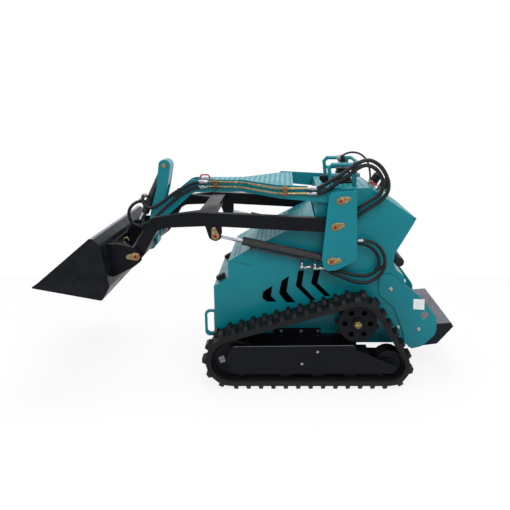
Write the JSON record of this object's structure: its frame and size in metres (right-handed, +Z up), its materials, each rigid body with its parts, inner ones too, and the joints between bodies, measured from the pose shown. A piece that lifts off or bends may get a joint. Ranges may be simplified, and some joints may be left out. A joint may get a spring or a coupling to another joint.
{
  "type": "mini skid steer loader",
  "caption": "Stand-on compact loader on rubber tracks with a self-levelling lift arm, hydraulic cylinders, a bucket and a rear console.",
  "frame": {"origin": "on the ground under the middle of the machine's overall box", "axes": "+X forward towards the bucket, +Y the machine's left, +Z up"},
  "size_m": [2.332, 1.08, 1.2693],
  "materials": {
    "teal_paint": "satin teal powder coat",
    "black_paint": "satin blue-black paint",
    "rubber": "matt moulded track rubber",
    "bright_steel": "hard-chromed rod",
    "yellow_zinc": "yellow zinc plate",
    "black_plastic": "fine-grained black plastic",
    "red_plastic": "dipped red plastic"
  },
  "bodies": {
    "chassis": {"belly_frame": "teal_paint", "console_shell": "teal_paint", "control_guard": "teal_paint", "counterweight": "black_paint", "engine_block": "black_paint", "filler_cap": "black_plastic", "front_panel": "teal_paint", "hood": "teal_paint", "rear_panel": "teal_paint", "thigh_bar": "black_plastic", "valve_and_levers": "black_plastic", "drive_motor_left": "black_paint", "drive_motor_right": "black_paint", "front_idler_left": "black_paint", "front_idler_right": "black_paint", "rear_idler_left": "black_paint", "rear_idler_right": "black_paint", "side_plate_left": "teal_paint", "side_plate_right": "teal_paint", "sprocket_left": "black_paint", "sprocket_right": "black_paint", "tow_loop_left": "teal_paint", "tow_loop_right": "teal_paint", "tower_left": "teal_paint", "tower_right": "teal_paint", "track_left": "rubber", "track_right": "rubber", "track_cover_left": "black_paint", "track_cover_right": "black_paint", "track_frame_left": "black_paint", "track_frame_right": "black_paint", "wing_plate_left": "teal_paint", "wing_plate_right": "teal_paint", "work_lamp_left": "black_plastic", "work_lamp_right": "black_plastic"},
    "lift_arm": {"lift_arm": "black_paint"},
    "upper_link": {"upper_link": "teal_paint", "link_pipes": "yellow_zinc", "link_handle": "red_plastic", "link_hoses": "rubber", "tip_hoses": "rubber"},
    "knuckle": {"knuckle": "teal_paint"},
    "bucket": {"bucket": "black_paint", "coupler": "black_paint"},
    "tilt_barrel": {"tilt_barrel": "black_paint"},
    "tilt_rod": {"tilt_rod": "bright_steel"},
    "lift_barrel_left": {"lift_barrel_left": "black_paint", "lift_hoses_left": "rubber"},
    "lift_rod_left": {"lift_rod_left": "bright_steel"},
    "lift_barrel_right": {"lift_barrel_right": "black_paint", "lift_hoses_right": "rubber"},
    "lift_rod_right": {"lift_rod_right": "bright_steel"}
  },
  "joints": [
    {"name": "lift_arm", "type": "hinge", "parent": "chassis", "child": "lift_arm", "pos_m": [-0.461, 0, 0.906], "axis": [0, -1, 0], "range_deg": [-28, 60]},
    {"name": "upper_link", "type": "hinge", "parent": "chassis", "child": "upper_link", "pos_m": [-0.487, 0, 1.047], "axis": [0, -1, 0], "range_deg": [-28.01, 60.01], "deforming": ["link_hoses"]},
    {"name": "knuckle", "type": "hinge", "parent": "upper_link", "child": "knuckle", "pos_m": [0.596, 0, 0.884], "axis": [0, -1, 0], "range_deg": [-60.01, 28.01], "deforming": ["tip_hoses"]},
    {"name": "bucket", "type": "hinge", "parent": "knuckle", "child": "bucket", "pos_m": [0.622, 0, 0.743], "axis": [0, -1, 0], "range_deg": [-70, 15]},
    {"name": "tilt_barrel", "type": "hinge", "parent": "knuckle", "child": "tilt_barrel", "pos_m": [0.521, 0, 1.197], "axis": [0, -1, 0], "range_deg": [-0.15, 0.05]},
    {"name": "tilt_rod", "type": "slide", "parent": "tilt_barrel", "child": "tilt_rod", "axis": [0.4472, 0, -0.8944], "range_m": [-0.0302, 0.1406]},
    {"name": "lift_barrel_left", "type": "hinge", "parent": "chassis", "child": "lift_barrel_left", "pos_m": [-0.443, 0.393, 0.715], "axis": [0, -1, 0], "range_deg": [-25.35, 54.31], "deforming": ["lift_hoses_left"]},
    {"name": "lift_rod_left", "type": "slide", "parent": "lift_barrel_left", "child": "lift_rod_left", "axis": [0.9772, 0, 0.2122], "range_m": [-0.0822, 0.176]},
    {"name": "lift_barrel_right", "type": "hinge", "parent": "chassis", "child": "lift_barrel_right", "pos_m": [-0.443, -0.393, 0.715], "axis": [0, -1, 0], "range_deg": [-25.35, 54.31], "deforming": ["lift_hoses_right"]},
    {"name": "lift_rod_right", "type": "slide", "parent": "lift_barrel_right", "child": "lift_rod_right", "axis": [0.9772, 0, 0.2122], "range_m": [-0.0822, 0.176]}
  ],
  "couplings": [
    {"joint": "upper_link", "follows": "lift_arm", "ratio": 1},
    {"joint": "knuckle", "follows": "lift_arm", "ratio": -1},
    {"joint": "tilt_barrel", "follows": "bucket", "ratio": 0.002},
    {"joint": "tilt_rod", "follows": "bucket", "m_per_rad": -0.115},
    {"joint": "lift_barrel_left", "follows": "lift_arm", "ratio": 0.905},
    {"joint": "lift_rod_left", "follows": "lift_arm", "m_per_rad": 0.168},
    {"joint": "lift_barrel_right", "follows": "lift_arm", "ratio": 0.905},
    {"joint": "lift_rod_right", "follows": "lift_arm", "m_per_rad": 0.168}
  ]
}
